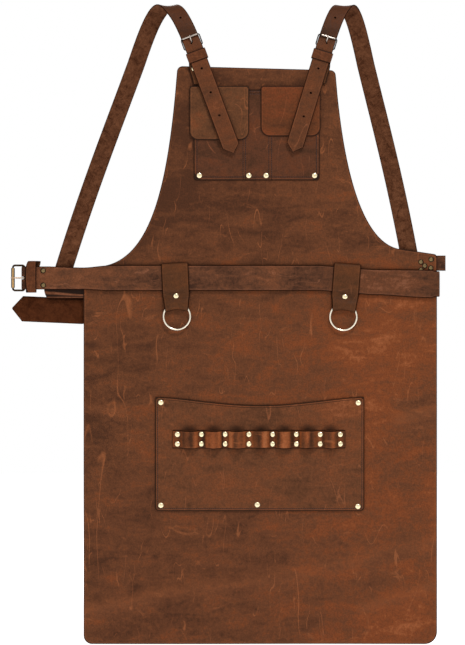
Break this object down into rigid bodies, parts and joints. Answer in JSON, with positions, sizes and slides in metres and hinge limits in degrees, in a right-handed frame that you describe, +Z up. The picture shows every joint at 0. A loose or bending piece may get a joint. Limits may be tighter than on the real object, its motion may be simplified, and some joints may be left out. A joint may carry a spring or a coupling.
{
  "type": "leather welding apron",
  "caption": "Bibbed leather work apron with flapped chest pocket, tool pocket with tool loops, ring hangers, waist belt and buckled shoulder straps.",
  "frame": {"origin": "middle of the hem's lower edge, at the front face of the body leather", "axes": "+Z up the hanging apron from hem to shoulders, -Y out of the grain side, towards someone who looks at the front, +X to that person's right"},
  "size_m": [0.7177, 0.0746, 1.0582],
  "materials": {
    "grain_leather": "oiled pull-up grain leather, mottled warm brown with lighter scratches",
    "red_leather": "the same oiled leather, a redder cut",
    "belt_leather": "thicker, darker oiled belt leather",
    "pale_brass": "bright pale brass double cap rivet",
    "antique_brass": "antiqued dark brass",
    "bright_nickel": "bright nickel plated wire"
  },
  "bodies": {
    "root": {"apron_body": "grain_leather", "buckle_tab_left": "grain_leather", "buckle_tab_right": "grain_leather", "chest_pocket": "grain_leather", "ring_hanger_left": "grain_leather", "ring_hanger_right": "grain_leather", "shoulder_strap_left": "grain_leather", "shoulder_strap_right": "grain_leather", "side_loop_left": "belt_leather", "side_loop_right": "belt_leather", "tool_loop_strip": "red_leather", "tool_pocket": "grain_leather", "waist_belt": "belt_leather", "chest_pocket_rivet_01": "pale_brass", "chest_pocket_rivet_02": "pale_brass", "chest_pocket_rivet_03": "pale_brass", "chest_pocket_rivet_04": "pale_brass", "tool_pocket_rivet_01": "pale_brass", "tool_pocket_rivet_02": "pale_brass", "tool_pocket_rivet_03": "pale_brass", "tool_pocket_rivet_04": "pale_brass", "tool_pocket_rivet_05": "pale_brass", "tool_loop_rivet_01": "pale_brass", "tool_loop_rivet_02": "pale_brass", "tool_loop_rivet_03": "pale_brass", "tool_loop_rivet_04": "pale_brass", "tool_loop_rivet_05": "pale_brass", "tool_loop_rivet_06": "pale_brass", "tool_loop_rivet_07": "pale_brass", "tool_loop_rivet_08": "pale_brass", "tool_loop_rivet_09": "pale_brass", "tool_loop_rivet_10": "pale_brass", "tool_loop_rivet_11": "pale_brass", "tool_loop_rivet_12": "pale_brass", "tool_loop_rivet_13": "pale_brass", "tool_loop_rivet_14": "pale_brass", "tool_loop_rivet_15": "pale_brass", "tool_loop_rivet_16": "pale_brass", "ring_hanger_rivet_01": "pale_brass", "ring_hanger_rivet_02": "pale_brass", "belt_rivet_01": "antique_brass", "belt_rivet_02": "antique_brass"},
    "flap_left": {"pocket_flap_left": "red_leather"},
    "flap_right": {"pocket_flap_right": "red_leather"},
    "tail_left": {"strap_tail_left": "grain_leather"},
    "tail_right": {"strap_tail_right": "grain_leather"},
    "ring_left": {"o_ring_left": "bright_nickel"},
    "ring_right": {"o_ring_right": "bright_nickel"},
    "belt_buckle": {"belt_buckle_frame": "antique_brass"},
    "belt_prong": {"belt_buckle_prong": "antique_brass"},
    "belt_roller": {"belt_buckle_roller": "antique_brass"},
    "belt_keeper": {"belt_keeper": "belt_leather"},
    "strap_buckle_left": {"strap_buckle_frame_left": "bright_nickel"},
    "strap_buckle_right": {"strap_buckle_frame_right": "bright_nickel"},
    "strap_prong_left": {"strap_buckle_prong_left": "bright_nickel"},
    "strap_prong_right": {"strap_buckle_prong_right": "bright_nickel"},
    "strap_keeper_left": {"strap_keeper_left": "grain_leather"},
    "strap_keeper_right": {"strap_keeper_right": "grain_leather"}
  },
  "joints": [
    {"name": "flap_lift_left", "type": "hinge", "parent": "root", "child": "flap_left", "pos_m": [0, -0.0034, 0.92], "axis": [-1, 0, 0], "range_deg": [0, 75]},
    {"name": "tail_lift_left", "type": "hinge", "parent": "root", "child": "tail_left", "pos_m": [-0.0986, -0.0093, 0.95472], "axis": [-0.9367, 0, -0.3502], "range_deg": [0, 75]},
    {"name": "ring_swing_left", "type": "hinge", "parent": "root", "child": "ring_left", "pos_m": [-0.13837, -0.0063, 0.55951], "axis": [-0.999, 0, -0.0436], "range_deg": [0, 35]},
    {"name": "strap_buckle_rock_left", "type": "hinge", "parent": "root", "child": "strap_buckle_left", "pos_m": [-0.10981, -0.0015, 0.9845], "axis": [0.9367, 0, 0.3502], "range_deg": [0, 6]},
    {"name": "strap_prong_lift_left", "type": "hinge", "parent": "strap_buckle_left", "child": "strap_prong_left", "pos_m": [-0.10981, -0.0015, 0.9845], "axis": [0.9367, 0, 0.3502], "range_deg": [0, 8]},
    {"name": "strap_keeper_slide_left", "type": "slide", "parent": "root", "child": "strap_keeper_left", "axis": [0.3502, 0, -0.9367], "range_m": [-0.001, 0.0025]},
    {"name": "flap_lift_right", "type": "hinge", "parent": "root", "child": "flap_right", "pos_m": [0, -0.0034, 0.92], "axis": [-1, 0, 0], "range_deg": [0, 75]},
    {"name": "tail_lift_right", "type": "hinge", "parent": "root", "child": "tail_right", "pos_m": [0.09725, -0.0093, 0.95471], "axis": [-0.9563, 0, 0.2924], "range_deg": [0, 75]},
    {"name": "ring_swing_right", "type": "hinge", "parent": "root", "child": "ring_right", "pos_m": [0.13836, -0.0063, 0.55854], "axis": [-0.9969, 0, 0.0785], "range_deg": [0, 35]},
    {"name": "strap_buckle_rock_right", "type": "hinge", "parent": "root", "child": "strap_buckle_right", "pos_m": [0.10636, -0.0015, 0.9845], "axis": [0.9563, 0, -0.2924], "range_deg": [0, 6]},
    {"name": "strap_prong_lift_right", "type": "hinge", "parent": "strap_buckle_right", "child": "strap_prong_right", "pos_m": [0.10636, -0.0015, 0.9845], "axis": [0.9563, 0, -0.2924], "range_deg": [0, 8]},
    {"name": "strap_keeper_slide_right", "type": "slide", "parent": "root", "child": "strap_keeper_right", "axis": [-0.2924, 0, -0.9563], "range_m": [-0.001, 0.0025]},
    {"name": "belt_buckle_swing", "type": "hinge", "parent": "root", "child": "belt_buckle", "pos_m": [-0.389, -0.00235, 0.604], "axis": [0, 0, 1], "range_deg": [-25, 35]},
    {"name": "belt_prong_swing", "type": "hinge", "parent": "belt_buckle", "child": "belt_prong", "pos_m": [-0.389, -0.00235, 0.604], "axis": [0, 0, 1], "range_deg": [0, 70]},
    {"name": "belt_roller_spin", "type": "hinge", "parent": "belt_buckle", "child": "belt_roller", "pos_m": [-0.408, -0.00235, 0.604], "axis": [0, 0, 1], "continuous": true},
    {"name": "belt_keeper_slide", "type": "slide", "parent": "root", "child": "belt_keeper", "axis": [1, 0, 0], "range_m": [-0.001, 0.004]}
  ],
  "couplings": [
    {"joint": "tail_lift_left", "follows": "flap_lift_left", "ratio": 1},
    {"joint": "tail_lift_right", "follows": "flap_lift_right", "ratio": 1}
  ]
}
